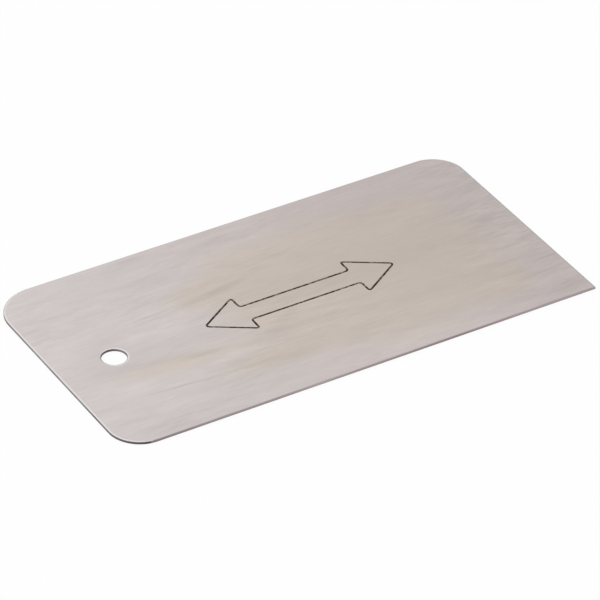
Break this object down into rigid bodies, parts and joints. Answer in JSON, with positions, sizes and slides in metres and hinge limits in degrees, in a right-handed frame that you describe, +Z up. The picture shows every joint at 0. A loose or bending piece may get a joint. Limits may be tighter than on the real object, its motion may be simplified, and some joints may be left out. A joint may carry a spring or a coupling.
{
  "type": "card scraper",
  "caption": "Thin flat rectangular card scraper of brushed steel, with rounded corners, a sharp tip corner and a hanging hole at the handle end.",
  "frame": {"origin": "middle of the blade's flat underside", "axes": "+X along the length towards the tip end, which has the sharp corner; +Y across the width towards the rear long edge; +Z up, out of the brushed top face"},
  "size_m": [0.125, 0.065, 0.0006],
  "materials": {
    "brushed_steel": "satin, with a soft brushed grain along the length and square ground long edges"
  },
  "bodies": {
    "root": {"scraper_blade": "brushed_steel"}
  },
  "joints": []
}
